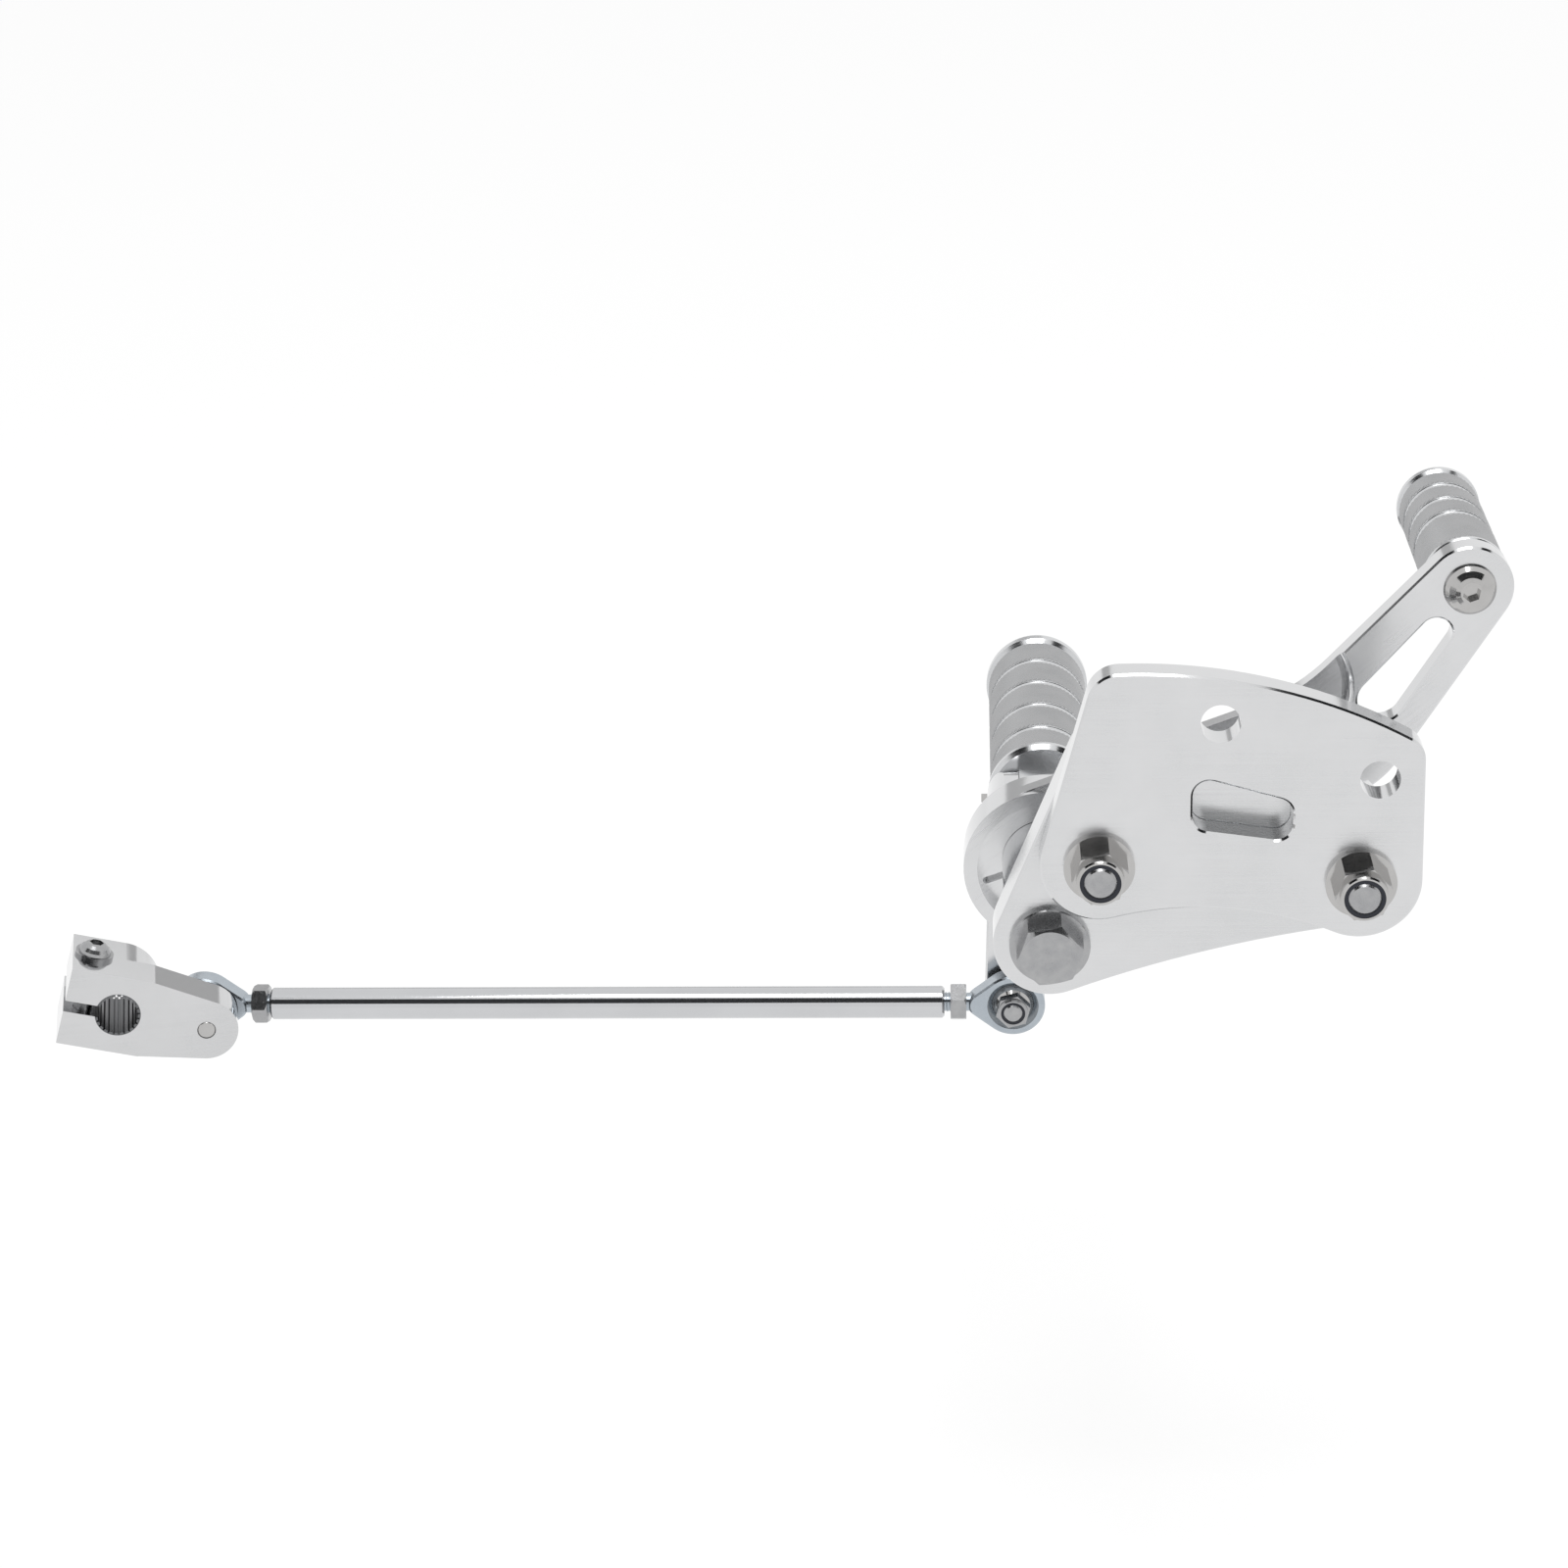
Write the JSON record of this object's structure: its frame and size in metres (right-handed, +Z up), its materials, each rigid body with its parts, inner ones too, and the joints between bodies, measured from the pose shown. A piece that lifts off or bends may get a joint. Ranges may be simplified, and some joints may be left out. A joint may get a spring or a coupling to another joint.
{
  "type": "motorcycle forward controls",
  "caption": "Polished aluminium forward control: frame and control plates, toe lever, folding foot peg, shift rod on rod ends and a splined clamp arm.",
  "frame": {"origin": "midway between the two frame bolt holes, on the inboard face of the frame plate", "axes": "+X forwards on the motorcycle, +Y outboard (left side), +Z up"},
  "size_m": [0.4687, 0.251, 0.1624],
  "materials": {
    "polished_aluminium": "polished, faint machining grain",
    "machined_aluminium": "turned, satin",
    "zinc_plated_steel": "bright zinc plate",
    "bright_steel": "bright, polished",
    "black_oxide_steel": "black oxide",
    "stainless_steel": "bright stainless",
    "bronze": "sintered, oil filled",
    "nylon": "dark blue nylon"
  },
  "bodies": {
    "plates": {"frame_plate": "polished_aluminium", "control_plate": "polished_aluminium", "plate_bolts": "stainless_steel", "flange_nuts": "stainless_steel", "flange_nut_inserts": "nylon", "pivot_bolt": "stainless_steel", "pivot_washer": "stainless_steel", "pivot_spacer": "machined_aluminium", "peg_mount": "polished_aluminium", "fold_pin": "bright_steel", "fold_pin_clip": "black_oxide_steel"},
    "lever": {"shift_lever": "polished_aluminium", "pivot_bush": "bronze", "toe_peg": "polished_aluminium", "toe_peg_screw": "stainless_steel", "rod_bolt_collar": "bright_steel", "rod_bolt": "stainless_steel", "rod_bolt_nut": "stainless_steel", "rod_bolt_nut_insert": "nylon", "front_ball": "bright_steel"},
    "rod": {"front_rod_end": "zinc_plated_steel", "front_jam_nut": "zinc_plated_steel", "shift_rod": "polished_aluminium", "rear_jam_nut": "zinc_plated_steel", "rear_rod_end": "zinc_plated_steel"},
    "rear_swivel": {"rear_ball": "bright_steel"},
    "arm": {"shift_arm": "polished_aluminium", "arm_pin": "bright_steel", "clamp_screw": "stainless_steel", "clamp_screw_washer": "stainless_steel"},
    "peg": {"foot_peg": "polished_aluminium"}
  },
  "joints": [
    {"name": "lever_pivot", "type": "hinge", "parent": "plates", "child": "lever", "pos_m": [-0.0737, 0.075, -0.0668], "axis": [0, 1, 0], "range_deg": [-12, 12]},
    {"name": "rod_pivot", "type": "hinge", "parent": "lever", "child": "rod", "pos_m": [-0.0845, 0.06, -0.1112], "axis": [0, 1, 0], "range_deg": [-20, 20]},
    {"name": "rear_ball_tilt", "type": "hinge", "parent": "rod", "child": "rear_swivel", "pos_m": [-0.3497, 0.06, -0.1112], "axis": [0, 0, 1], "range_deg": [-25, 0]},
    {"name": "arm_turn", "type": "hinge", "parent": "rear_swivel", "child": "arm", "pos_m": [-0.3497, 0.06, -0.1112], "axis": [-0.2164, 0.9763, 0], "range_deg": [-30, 30]},
    {"name": "peg_fold", "type": "hinge", "parent": "plates", "child": "peg", "pos_m": [-0.0737, 0.1132, -0.0668], "axis": [1, 0, 0], "range_deg": [0, 80]}
  ]
}
